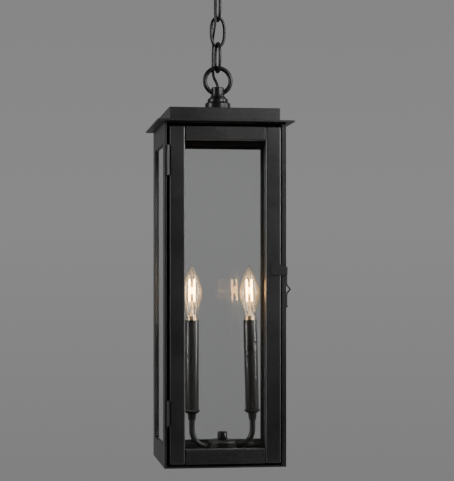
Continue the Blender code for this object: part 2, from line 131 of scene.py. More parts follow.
def black_paint():
    """Satin powder coat: a fine orange-peel grain, and faint cloudy differences in its sheen."""
    m, nt, b = new_material("black_powder_coat")
    co = coords(nt)
    cloud = noise(nt, co, 14.0, 4.0)
    grain = noise(nt, co, 430.0, 5.0, 0.65)
    fleck = noise(nt, co, 600.0, 1.0)
    tone = ramp(nt, cloud, [(0.25, (0.0036, 0.0036, 0.0038)), (0.75, (0.0062, 0.0061, 0.006))])
    spots = ramp(nt, fleck, [(0.62, (0.0, 0.0, 0.0)), (0.76, (0.05, 0.05, 0.05))])
    add = node(nt, "ShaderNodeMixRGB", blend_type="ADD")
    add.inputs["Fac"].default_value = 1.0
    nt.links.new(tone, add.inputs["Color1"])
    nt.links.new(spots, add.inputs["Color2"])
    nt.links.new(add.outputs["Color"], b.inputs["Base Color"])
    nt.links.new(spread(nt, cloud, 0.34, 0.43), b.inputs["Roughness"])
    b.inputs["Metallic"].default_value = 0.0
    b.inputs["Specular IOR Level"].default_value = 0.5
    bump(nt, b, grain, 0.42, 0.00018)
    return m


def tube_paint():
    """The candle tubes: the same black, smoother, and a little warmer: painted amber bulb light in the tone."""
    m, nt, b = new_material("gloss_black_tube")
    co = coords(nt)
    n = noise(nt, co, 60.0, 4.0)
    grain = noise(nt, co, 900.0, 2.0)
    # the warm tone is painted amber light from the bulbs, not a colour of the tubes
    nt.links.new(ramp(nt, n, [(0.3, (0.0065, 0.0058, 0.0052)), (0.7, (0.010, 0.0088, 0.0078))]), b.inputs["Base Color"])
    nt.links.new(spread(nt, n, 0.27, 0.29), b.inputs["Roughness"])
    b.inputs["Specular IOR Level"].default_value = 0.4
    bump(nt, b, grain, 0.06, 0.00003)
    return m


def pin_paint():
    m, nt, b = new_material("worn_black_pin")
    co = coords(nt)
    n = noise(nt, co, 500.0, 4.0)
    nt.links.new(ramp(nt, n, [(0.35, (0.02, 0.02, 0.02)), (0.8, (0.07, 0.066, 0.06))]), b.inputs["Base Color"])
    b.inputs["Metallic"].default_value = 0.3
    b.inputs["Roughness"].default_value = 0.4
    bump(nt, b, n, 0.2, 0.00005)
    return m


def zinc():
    m, nt, b = new_material("zinc_plated_steel")
    co = coords(nt)
    n = noise(nt, co, 220.0, 5.0, 0.6)
    nt.links.new(ramp(nt, n, [(0.3, (0.30, 0.29, 0.27)), (0.7, (0.52, 0.51, 0.48))]), b.inputs["Base Color"])
    nt.links.new(spread(nt, n, 0.28, 0.45), b.inputs["Roughness"])
    b.inputs["Metallic"].default_value = 1.0
    bump(nt, b, n, 0.15, 0.00005)
    return m


def brass_cap():
    m, nt, b = new_material("plated_screw_cap")
    co = coords(nt)
    n = noise(nt, co, 350.0, 4.0)
    nt.links.new(ramp(nt, n, [(0.3, (0.50, 0.33, 0.20)), (0.7, (0.70, 0.49, 0.32))]), b.inputs["Base Color"])
    nt.links.new(spread(nt, n, 0.22, 0.34), b.inputs["Roughness"])
    b.inputs["Metallic"].default_value = 1.0
    bump(nt, b, n, 0.1, 0.00004)
    return m


def black_plastic(name, rough, scale, lo=0.018, hi=0.033, level=0.5):
    m, nt, b = new_material(name)
    co = coords(nt)
    n = noise(nt, co, scale, 3.0)
    nt.links.new(ramp(nt, n, [(0.3, (lo, lo, lo)), (0.7, (hi, hi, hi))]), b.inputs["Base Color"])
    nt.links.new(spread(nt, n, rough - 0.05, rough + 0.07), b.inputs["Roughness"])
    b.inputs["Specular IOR Level"].default_value = level
    bump(nt, b, n, 0.15, 0.00006)
    return m


def clear(name, tint, wobble):
    """Clear glass that lets lamp light through to what stands behind it."""
    m, nt, b = new_material(name)
    out = nt.nodes["Material Output"]
    b.inputs["Base Color"].default_value = (*tint, 1.0)
    b.inputs["Roughness"].default_value = 0.0
    b.inputs["IOR"].default_value = 1.5
    b.inputs["Transmission Weight"].default_value = 1.0
    if wobble:
        bump(nt, b, noise(nt, coords(nt), wobble, 1.0), 0.05, 0.0002)
    see = node(nt, "ShaderNodeBsdfTransparent")
    see.inputs["Color"].default_value = (0.93, 0.945, 0.94, 1.0)
    mix = node(nt, "ShaderNodeMixShader")
    path = node(nt, "ShaderNodeLightPath")
    nt.links.new(path.outputs["Is Shadow Ray"], mix.inputs["Fac"])
    nt.links.new(b.outputs["BSDF"], mix.inputs[1])
    nt.links.new(see.outputs["BSDF"], mix.inputs[2])
    nt.links.new(mix.outputs["Shader"], out.inputs["Surface"])
    return m


def filament_light():
    """Lit phosphor sticks: a strong amber glow whose tone shifts a little at random."""
    m, nt, b = new_material("filament_light")
    co = coords(nt)
    n = noise(nt, co, 300.0, 2.0)
    nt.links.new(ramp(nt, n, [(0.3, (1.0, 0.56, 0.20)), (0.7, (1.0, 0.64, 0.27))]), b.inputs["Emission Color"])
    b.inputs["Base Color"].default_value = (0.9, 0.7, 0.35, 1.0)
    b.inputs["Emission Strength"].default_value = 42.0
    b.inputs["Roughness"].default_value = 0.5
    return m


def stem_glass():
    m, nt, b = new_material("stem_glass")
    co = coords(nt)
    n = noise(nt, co, 200.0, 2.0)
    nt.links.new(ramp(nt, n, [(0.3, (0.80, 0.66, 0.46)), (0.7, (0.92, 0.82, 0.62))]), b.inputs["Base Color"])
    # painted glow: a faint amber emission stands in for the sticks' light caught in the glass stem
    b.inputs["Emission Color"].default_value = (1.0, 0.50, 0.16, 1.0)
    b.inputs["Emission Strength"].default_value = 0.12
    b.inputs["Roughness"].default_value = 0.2
    b.inputs["Transmission Weight"].default_value = 0.85
    return m


BLACK, ZINC, BRASS, PIN, TUBE = black_paint(), zinc(), brass_cap(), pin_paint(), tube_paint()
PLASTIC = black_plastic("moulded_lampholder", 0.5, 900.0)
CORD = black_plastic("cord_sheath", 0.42, 600.0, 0.005, 0.010, 0.25)
PANE, BULB = clear("clear_pane_glass", (0.975, 0.985, 0.98), 6.0), clear("clear_bulb_glass", (0.99, 0.985, 0.97), 0)
LIGHT, STEM = filament_light(), stem_glass()


def lit_glass(mat, height, reach):
    """Painted glow: an emission on the envelope stands in for the sticks' light it catches, strongest where it is
    nearest to them.
    """
    nt = mat.node_tree
    b = nt.nodes["Principled BSDF"]
    sep = node(nt, "ShaderNodeSeparateXYZ")
    nt.links.new(coords(nt), sep.inputs["Vector"])
    away = node(nt, "ShaderNodeMath", operation="SUBTRACT")
    away.inputs[1].default_value = height
    nt.links.new(sep.outputs["Z"], away.inputs[0])
    dist = node(nt, "ShaderNodeMath", operation="ABSOLUTE")
    nt.links.new(away.outputs["Value"], dist.inputs[0])
    fade = node(nt, "ShaderNodeMapRange")
    fade.inputs["From Max"].default_value = reach
    nt.links.new(dist.outputs["Value"], fade.inputs["Value"])
    nt.links.new(ramp(nt, fade.outputs["Result"], [(0.0, (0.165, 0.092, 0.027)), (0.55, (0.085, 0.048, 0.015)), (1.0, (0.010, 0.008, 0.004))]),
                 b.inputs["Emission Color"])
    b.inputs["Emission Strength"].default_value = 1.0


lit_glass(BULB, (65.4 + 208.0 - H_TOTAL) * MM, 0.040)


def satin_black():
    """Turned fittings, lamp arms and chain: a thinner coat, smooth and satin."""
    m, nt, b = new_material("satin_black_fitting")
    co = coords(nt)
    n = noise(nt, co, 90.0, 4.0)
    grain = noise(nt, co, 700.0, 3.0)
    nt.links.new(ramp(nt, n, [(0.3, (0.0040, 0.0040, 0.0040)), (0.7, (0.0068, 0.0066, 0.0064))]), b.inputs["Base Color"])
    nt.links.new(spread(nt, n, 0.31, 0.40), b.inputs["Roughness"])
    b.inputs["Specular IOR Level"].default_value = 0.2
    bump(nt, b, grain, 0.08, 0.00004)
    return m


SATIN = satin_black()


# ------------------------------------------------------------------ builders
def link(o):
    bpy.context.scene.collection.objects.link(o)
    return o


def settle(o):
    """Applies an object's modifiers, or turns a curve into a mesh."""
    bpy.context.view_layer.update()
    dg = bpy.context.evaluated_depsgraph_get()
    me = bpy.data.meshes.new_from_object(o.evaluated_get(dg))
    name, world, mats = o.name, o.matrix_world.copy(), list(o.data.materials)
    bpy.data.objects.remove(o, do_unlink=True)
    me.transform(world)
    n = link(bpy.data.objects.new(name, me))
    n.name = name
    if not me.materials:
        for m in mats:
            me.materials.append(m)
    return n


def weld(o, dist=1e-6):
    bm = bmesh.new()
    bm.from_mesh(o.data)
    bmesh.ops.remove_doubles(bm, verts=bm.verts, dist=dist)
    bmesh.ops.recalc_face_normals(bm, faces=bm.faces)
    bm.to_mesh(o.data)
    bm.free()
    return o


def smooth(o, angle=35):
    o.data.shade_smooth()
    o.data.set_sharp_from_angle(angle=radians(angle))
    return o


def place(o, body, replaced, mat=None):
    """Material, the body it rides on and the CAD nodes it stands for."""
    if mat is not None:
        o.data.materials.clear()
        o.data.materials.append(mat)
    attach(o, body)
    if replaced:
        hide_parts(*([replaced] if isinstance(replaced, str) else replaced))
    return o


def block(name, lo, hi):
    bm = bmesh.new()
    bmesh.ops.create_cube(bm, size=1.0)
    a, b = P(*lo), P(*hi)
    for v in bm.verts:
        v.co = Vector([(a[i] + b[i]) / 2 + v.co[i] * (b[i] - a[i]) for i in range(3)])
    me = bpy.data.meshes.new(name)
    bm.to_mesh(me)
    bm.free()
    return link(bpy.data.objects.new(name, me))


def carve(o, *tools, op="DIFFERENCE"):
    for t in tools:
        m = o.modifiers.new("cut", "BOOLEAN")
        m.operation, m.object, m.solver = op, t, "EXACT"
    n = settle(o)
    for t in tools:
        bpy.data.objects.remove(t, do_unlink=True)
    return n


def ease(o, width, segments=2, angle=30):
    """Rounded edges with flat faces left flat."""
    m = o.modifiers.new("ease", "BEVEL")
    m.width = width * MM
    m.segments = segments
    m.limit_method = "ANGLE"
    m.angle_limit = radians(angle)
    m.harden_normals = True
    o.data.shade_smooth()
    return settle(o)


def rounded(profile, r, n=4, closed=False):
    """Fillets a profile's corners: each becomes a short arc of about radius r (mm)."""
    pts = [Vector(p) for p in profile]
    out = []
    last = len(pts) - 1
    for i, p in enumerate(pts):
        if not closed and i in (0, last):
            out.append(tuple(p))
            continue
        a, b = pts[i - 1], pts[(i + 1) % len(pts)]
        da, db = (a - p), (b - p)
        d = min(r, da.length * 0.45, db.length * 0.45)
        if da.length < 1e-6 or db.length < 1e-6 or abs(da.normalized().dot(db.normalized())) > 0.985 or d < 0.02:
            out.append(tuple(p))
            continue
        s, e = p + da.normalized() * d, p + db.normalized() * d
        for k in range(n + 1):
            t = k / n
            out.append(tuple((1 - t) ** 2 * s + 2 * t * (1 - t) * p + t * t * e))
    return out


def lathe(name, profile, steps=64, at=(0, 0, 0), tilt=0.0, closed=False):
    """A turned piece from (radius, height) in mm; at is its foot in mm, tilt leans it about Y."""
    verts, faces = [], []
    rows = []
    for r, h in profile:
        if r < 1e-6:
            rows.append([len(verts)])
            verts.append((0.0, 0.0, h * MM))
        else:
            rows.append(list(range(len(verts), len(verts) + steps)))
            verts += [(r * MM * cos(2 * pi * k / steps), r * MM * sin(2 * pi * k / steps), h * MM) for k in range(steps)]
    pairs = list(zip(rows, rows[1:])) + ([(rows[-1], rows[0])] if closed else [])
    for a, b in pairs:
        for k in range(steps):
            k2 = (k + 1) % steps
            if len(a) == 1 and len(b) == 1:
                continue
            if len(a) == 1:
                faces.append((a[0], b[k], b[k2]))
            elif len(b) == 1:
                faces.append((a[k], b[0], a[k2]))
            else:
                faces.append((a[k], b[k], b[k2], a[k2]))
    me = bpy.data.meshes.new(name)
    me.from_pydata(verts, [], faces)
    me.transform(Matrix.Translation(P(*at)) @ Matrix.Rotation(tilt, 4, "Y"))
    o = link(bpy.data.objects.new(name, me))
    weld(o, 1e-7)
    return smooth(o, 40)


def rod(name, points, radius, cyclic=False, resolution=7):
    cu = bpy.data.curves.new(name, "CURVE")
    cu.dimensions = "3D"
    cu.bevel_depth = radius * MM
    cu.bevel_resolution = resolution
    cu.use_fill_caps = True
    sp = cu.splines.new("POLY")
    sp.points.add(len(points) - 1)
    for p, q in zip(sp.points, points):
        p.co = (*q, 1.0)
    sp.use_cyclic_u = cyclic
    o = settle(link(bpy.data.objects.new(name, cu)))
    weld(o)
    return smooth(o, 50)


def sheet_outline(name, points, thickness, holes=()):
    cu = bpy.data.curves.new(name, "CURVE")
    cu.dimensions = "2D"
    cu.fill_mode = "BOTH"
    cu.extrude = thickness * MM / 2
    for loop in (points, *holes):
        sp = cu.splines.new("POLY")
        sp.points.add(len(loop) - 1)
        for p, (a, b) in zip(sp.points, loop):
            p.co = (a * MM, b * MM, 0, 1)
        sp.use_cyclic_u = True
    return link(bpy.data.objects.new(name, cu))


def circle(r, n=40):
    return [(r * cos(2 * pi * i / n), r * sin(2 * pi * i / n)) for i in range(n)]


# ------------------------------------------------------------------ body sheets
H, T = 95.0, 3.0
for word, s in (("left", -1), ("right", 1)):
    xa, xb = sorted((s * H, s * (H - T)))
    o = block(word + "_frame", (xa, -H, 0), (xb, H, 534.7))
    o = carve(o, block("tool", (xa - 5, -70, 32.5), (xb + 5, 70, 502)))
    place(ease(o, 0.45), "lantern", word + "_side_frame", BLACK)
inner = H - T - 0.3
o = carve(block("rear_frame", (-inner, H - T, 0), (inner, H, 534.7)), block("tool", (-85.5, H - 10, 25.3), (85.5, H + 10, 508.3)))
place(ease(o, 0.45), "lantern", "back_frame", BLACK)
o = carve(block("door_rebate", (-inner, -H + 13.2, 2.3), (inner, -H + 15.2, 534.7)), block("tool", (-75, -H + 5, 15), (75, -H + 25, 521)))
place(ease(o, 0.3), "lantern", "front_frame", BLACK)
place(ease(block("strike_flat", (88.2, -H + 0.6, 2.3), (inner, -H + 12.9, 534.4)), 0.5, 3), "lantern", "strike_bar", BLACK)
place(ease(block("pan", (-inner, -H + 0.3, 0), (inner, inner, 2.0)), 0.4), "lantern", "base_pan", BLACK)
place(ease(block("drip_sheet", (-106.8, -106.8, 535.0), (106.8, 106.8, 537.8)), 0.7, 3), "lantern", "drip_plate", BLACK)
o = carve(block("roof_box", (-87, -87, 538.1), (87, 87, 558.2)), block("tool", (-85.5, -85.5, 530), (85.5, 85.5, 556.7)))
place(ease(o, 0.7, 3), "lantern", "roof_cap", BLACK)

for n in ("left_glass", "right_glass", "back_glass", "door_glass"):
    nodes[n].data.materials.clear()
    nodes[n].data.materials.append(PANE)
for n in ("left_glass_stop", "right_glass_stop", "back_glass_stop", "door_glass_stop"):
    nodes[n].data.materials.clear()
    nodes[n].data.materials.append(BLACK)

# ------------------------------------------------------------------ door
def folded_bar(name, lo, hi, radius, segs):
    """A bar folded from sheet, open at the back, with soft outer corners."""
    o = ease(block(name, lo, hi), radius, segs, 30)
    tool = block("tool", (lo[0] + 1.6, lo[1] + 1.6, lo[2] + 1.6), (hi[0] - 1.6, hi[1] + 5, hi[2] - 1.6))
    o = smooth(carve(o, tool), 50)
    w = o.modifiers.new("even", "WEIGHTED_NORMAL")
    w.mode = "FACE_AREA"
    w.weight = 100
    w.keep_sharp = True
    return settle(o)


y0, DT = -H, 12.7
place(folded_bar("stile_left", (-87, y0, 5.5), (-63, y0 + DT, 528.5), 2.6, 5), "door", "door_stile_left", BLACK)
place(folded_bar("stile_right", (63, y0, 5.5), (87, y0 + DT, 528.5), 2.6, 5), "door", "door_stile_right", BLACK)
place(folded_bar("rail_top", (-62.7, y0 + 0.6, 507.0), (62.7, y0 + DT, 528.5), 1.6, 3), "door", "door_rail_top", BLACK)
place(folded_bar("rail_bottom", (-62.7, y0 + 0.6, 5.5), (62.7, y0 + DT, 29.0), 1.6, 3), "door", "door_rail_bottom", BLACK)

# ------------------------------------------------------------------ hinges
PIVOT = (-89.6, -95.6)


def leaf(name, z0, z1, near, far, body, replaced):
    r_out, r_in, n = 2.1, 1.35, 40
    lo, hi = sorted((near, far))

    def ang(x):
        x = max(-r_out, min(r_out, x))
        return atan2(sqrt(r_out ** 2 - x ** 2), x)
    start, end = ang(lo), ang(hi) + 2 * pi
    pts = [(r_out * cos(start + (end - start) * i / n), r_out * sin(start + (end - start) * i / n)) for i in range(n + 1)]
    if abs(hi) > r_out:
        pts.append((hi, 1.0))
    pts += [(hi, 11.0), (lo, 11.0)]
    o = sheet_outline(name, pts, z1 - z0, [circle(r_in, 24)])
    o.location = P(*PIVOT, (z0 + z1) / 2)
    o = weld(settle(o))
    o = ease(o, 0.25, 2, 40)
    place(o, body, replaced, BLACK)


leaf("leaf_top_frame", 477.7, 498.5, -1.0, -2.0, "lantern", "hinge_top_frame_leaf")
leaf("leaf_top_door", 452.2, 477.4, 1.3, 2.3, "door", "hinge_top_door_leaf")
leaf("leaf_bottom_door", 86.2, 104.5, 1.3, 2.3, "door", "hinge_bottom_door_leaf")
leaf("leaf_bottom_frame", 65.6, 85.9, -1.0, -2.0, "lantern", "hinge_bottom_frame_leaf")
for word, za, zb in (("top", 452.8, 498.2), ("bottom", 65.9, 103.9)):
    o = lathe("pin_" + word, [(0, zb), (0.7, zb), (1.05, zb - 0.4), (1.05, za + 0.4), (0.7, za), (0, za)], 24, (*PIVOT, 0))
    place(o, "lantern", "hinge_pin_" + word, PIN)

# ------------------------------------------------------------------ latch
BY = y0 - 0.3 - 1.2
o = sheet_outline("bracket", [(71.5, 0.0), (96.8, 0.0), (96.8, 12.8), (88.6, 12.8), (84.4, 19.6), (71.5, 19.6)], 1.2)
o.rotation_euler = (pi / 2, 0, 0)
o.location = P(0, BY + 0.6, 298.3)
o = weld(settle(o))
o = carve(o, block("tool", (95.5, BY + 0.6, 298.3), (96.8, y0 + 14.0, 311.1)), op="UNION")
place(ease(o, 0.35, 2, 40), "door", "latch_bracket", BLACK)

SX = 95.6
line = [(SX + 0.6, 297.9), (SX + 0.6, 283.6), (SX + 6.6, 275.9), (SX + 0.6, 268.9), (SX + 0.6, 252.0), (SX + 2.0, 248.0)]
fine = rounded(line, 1.6, 4)


def thick(pts, t):
    left, right = [], []
    for i, (x, z) in enumerate(pts):
        d = Vector((0.0, 0.0))
        if i > 0:
            d += (Vector(pts[i]) - Vector(pts[i - 1])).normalized()
        if i < len(pts) - 1:
            d += (Vector(pts[i + 1]) - Vector(pts[i])).normalized()
        d.normalize()
        n = Vector((-d.y, d.x))
        left.append((x + n.x * t / 2, z + n.y * t / 2))
        right.append((x - n.x * t / 2, z - n.y * t / 2))
    return left + right[::-1]


o = sheet_outline("spring_strip", [(x - SX, z - 275) for x, z in thick(fine, 1.2)], 9.0)
o.rotation_euler = (pi / 2, 0, 0)
o.location = P(SX, y0 + 6.0, 275)
o = ease(weld(settle(o)), 0.2, 2, 50)
place(o, "latch_spring", "latch_spring", BLACK)

# ------------------------------------------------------------------ roof fittings and loop
def put(o, body, replaced, mat):
    return place(o, body, replaced, mat)


put(lathe("tier_collar", rounded([(5.3, 582.0), (12.0, 582.0), (15.2, 581.6), (16.3, 580.2), (16.3, 575.6), (18.2, 575.2), (20.3, 573.2),
                                  (20.3, 558.5), (5.3, 558.5)], 0.8, 4, True), 80, closed=True),
    "lantern", "loop_collar", SATIN)


def ring(name, to_row, zc, n=96):
    return rod(name, [to_row(20.7 * sin(2 * pi * i / n), zc + 20.7 * cos(2 * pi * i / n)) for i in range(n)], 3.5, True, 8)


neck = lathe("loop_neck", rounded([(5.3, 599.8), (8.8, 599.8), (9.9, 599.0), (9.9, 588.6), (10.7, 587.4), (10.7, 585.6),
                                   (12.7, 583.6), (12.7, 582.3), (5.3, 582.3)], 0.6, 4, True), 80, closed=True)
eye = ring("loop_eye", lambda u, z: P(u, 0, z), 610.2)
bore = lathe("tool", [(0, 640 - 35), (5.3, 605), (5.3, 570), (0, 570)], 48)
eye = carve(eye, bore)
neck = carve(neck, eye, op="UNION")
put(smooth(neck, 40), "lantern", "hanging_loop", SATIN)
put(lathe("nipple_top", [(3.3, 593.0), (4.9, 593.0)] + [(4.9 - 0.25 * (k % 2), 592.4 - 0.55 * k) for k in range(88)] + [(4.9, 543.0), (3.3, 543.0)],
          32, closed=True), "lantern", "top_nipple", ZINC)


def hex_nut(name, z):
    o = sheet_outline(name, circle(9.2, 6), 5.0, [circle(5.2, 32)])
    o.location = P(0, 0, z)
    return ease(weld(settle(o)), 0.35, 2, 30)


put(hex_nut("nut_top", 551.6), "lantern", "top_nut", ZINC)
put(lathe("washer_top", rounded([(5.3, 556.3), (11.5, 556.3), (11.5, 554.5), (5.3, 554.5)], 0.3, 3, True), 48, closed=True),
    "lantern", "top_washer", ZINC)

# ------------------------------------------------------------------ canopy
CZ = H_TOTAL
outer = [(63.5, CZ), (63.5, CZ - 3), (61.8, CZ - 9), (52.0, CZ - 17), (35.0, CZ - 22), (16.0, CZ - 24), (5.4, CZ - 24)]
inner_p = [(5.4, CZ - 22.5), (16.0, CZ - 22.5), (34.4, CZ - 20.5), (50.8, CZ - 15.7), (60.0, CZ - 8.3), (61.8, CZ - 3), (61.8, CZ)]
put(lathe("canopy_dome", rounded(outer + inner_p, 5.0, 6, True), 96, closed=True), "canopy", "ceiling_canopy", BLACK)
bar_o = block("cross_bar", (-50, -10, CZ - 2.5), (50, 10, CZ))
bar_o = carve(bar_o, lathe("tool", [(0, CZ + 5), (5.3, CZ + 5), (5.3, CZ - 10), (0, CZ - 10)], 48))
put(ease(bar_o, 0.4, 2), "canopy", "crossbar", ZINC)
put(lathe("nipple_canopy", [(3.3, CZ - 0.3), (4.9, CZ - 0.3)] + [(4.9 - 0.25 * (k % 2), CZ - 0.9 - 0.55 * k) for k in range(66)] +
          [(4.9, CZ - 38), (3.3, CZ - 38)], 32, closed=True), "canopy", "canopy_nipple", ZINC)
put(hex_nut("nut_canopy", CZ - 5.3), "canopy", "canopy_nut", ZINC)
collar = [(5.4, CZ - 24.3), (15.0, CZ - 24.3), (16.0, CZ - 25.2), (16.0, CZ - 29.6), (15.0, CZ - 30.6), (5.4, CZ - 30.6)]
o = lathe("screw_collar", rounded(collar, 0.5, 3, True), 96, closed=True)
put(o, "canopy_collar", "canopy_collar", SATIN)
neck = lathe("canopy_neck", rounded([(5.3, CZ - 30.9), (12.7, CZ - 30.9), (12.7, CZ - 32.2), (10.6, CZ - 34.2), (10.6, CZ - 36.2),
                                     (9.9, CZ - 37.2), (9.9, CZ - 43.6), (8.8, CZ - 44.6), (5.3, CZ - 44.6)], 0.6, 4, True), 80, closed=True)
link_l = 50.5
inner_top = 610.2 + 20.7 - 3.5
zc, z = [], inner_top - 0.3 - 4.6
for i in range(4):
    zc.append(z + link_l / 2)
    z += link_l - 4.6 - 0.3 - 4.6
ring_z = z + 4.6 - 7.0 + 3.5 + 20.7
eye = ring("canopy_eye", lambda u, zz: about_chain(0, u, zz), ring_z)
eye = carve(eye, lathe("tool", [(0, CZ - 25), (5.3, CZ - 25), (5.3, CZ - 50), (0, CZ - 50)], 48))
neck = carve(neck, eye, op="UNION")
put(smooth(neck, 40), "canopy", "canopy_loop", SATIN)


# ------------------------------------------------------------------ chain
def link_wire(zm, facing):
    a, b, e = 27.1 / 2 - 2.3, link_l / 2 - 2.3, 2 / 2.35
    line = []
    for i in range(72):
        c, s = cos(2 * pi * i / 72), sin(2 * pi * i / 72)
        line.append((a * abs(c) ** e * (1 if c >= 0 else -1), b * abs(s) ** e * (1 if s >= 0 else -1)))
    return [about_chain(u if facing == 0 else 0.0, u if facing == 1 else 0.0, zm + v) for u, v in line]


for i, zm in enumerate(zc):
    k = 4 - i
    facing = (i + 1) % 2
    o = rod("link_wire_%d" % k, link_wire(zm, facing), 2.3, True, 7)
    put(o, "link_%d" % k, "chain_link_%d" % k, SATIN)


# ------------------------------------------------------------------ supply cord
def catmull(ctrl, n=14):
    pts = [Vector(c) for c in ctrl]
    pts = [2 * pts[0] - pts[1]] + pts + [2 * pts[-1] - pts[-2]]
    out = []
    for i in range(1, len(pts) - 2):
        p0, p1, p2, p3 = pts[i - 1:i + 3]
        for k in range(n):
            t = k / n
            out.append(0.5 * ((2 * p1) + (p2 - p0) * t + (2 * p0 - 5 * p1 + 4 * p2 - p3) * t * t + (3 * p1 - p0 - 3 * p2 + p3) * t ** 3))
    out.append(pts[-2])
    return out


zB, zC, zD, zE = zc
A = -6.2
route = [(0, 0, 549), (0, 0, 575), (0, 0, 598), (-1.2, 1.4, 606), (-4.6, 5.8, 616.5), (-5.6, 7.6, 625), (-5.8, 7.6, 635),
         (A, 6.6, zB), (A, 5.7, zC - 25), (A, 5.7, zC - 14), (A, 0, zC), (A, -5.7, zC + 14), (A, -5.7, zC + 25),
         (A, -5.8, zD), (A, -5.7, zE - 25), (A, -5.7, zE - 14), (A, 0, zE), (A, 5.7, zE + 13), (A, 5.8, zE + 25),
         (-4.6, 4.2, zE + 36), (-1.2, 1.0, zE + 45), (0, 0, zE + 53), (0, 0, CZ - 30), (0, 0, CZ - 12), (0, 0, CZ - 2.8)]
path = catmull([about_chain(*q) for q in route])


def strand_profile(n=10):
    """Two conductors side by side in one sheath, 4.4 mm wide and 3 mm thick."""
    r, off = 1.5, 0.7
    pts = []
    for k in range(n + 1):
        a = -pi / 2 - 0.75 + (pi + 1.5) * k / n
        pts.append((off + r * cos(a), r * sin(a)))
    return pts + [(-x, -y) for x, y in pts]


def sweep(name, pts, profile, twist=0.0, t0=0.0):
    verts, faces = [], []
    n = len(profile)
    tangent = (pts[1] - pts[0]).normalized()
    side = Vector((1, 0, 0))
    side = (side - tangent * side.dot(tangent)).normalized()
    run = t0
    for i, p in enumerate(pts):
        d = (pts[min(i + 1, len(pts) - 1)] - pts[max(i - 1, 0)]).normalized()
        side = (side - d * side.dot(d)).normalized()
        up = d.cross(side)
        if i:
            run += (p - pts[i - 1]).length
        c, s = cos(twist * run), sin(twist * run)
        for x, y in profile:
            u, v = x * c - y * s, x * s + y * c
            verts.append(p + side * (u * MM) + up * (v * MM))
    for i in range(len(pts) - 1):
        for k in range(n):
            a, b = i * n + k, i * n + (k + 1) % n
            faces.append((a, b, b + n, a + n))
    faces.append(tuple(range(n))[::-1])
    faces.append(tuple(range(len(verts) - n, len(verts))))
    me = bpy.data.meshes.new(name)
    me.from_pydata([tuple(v) for v in verts], [], faces)
    o = link(bpy.data.objects.new(name, me))
    bm = bmesh.new()
    bm.from_mesh(me)
    bmesh.ops.recalc_face_normals(bm, faces=bm.faces)
    bm.to_mesh(me)
    bm.free()
    return smooth(o, 60), run


prof = strand_profile()
splits = [zB, zC, zD, zE]
cuts = [0]
for s in splits:
    target = (s - H_TOTAL) * MM
    cuts.append(min(range(len(path)), key=lambda i: abs(path[i].z - target)))
cuts.append(len(path) - 1)
run = -0.065
for k in range(5):
    seg = path[cuts[k]:cuts[k + 1] + 1]
    o, run = sweep("cord_run_%d" % (k + 1), seg, prof, twist=22.0, t0=run)
    o.data.materials.append(CORD)
    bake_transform(o)
    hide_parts("supply_cord")

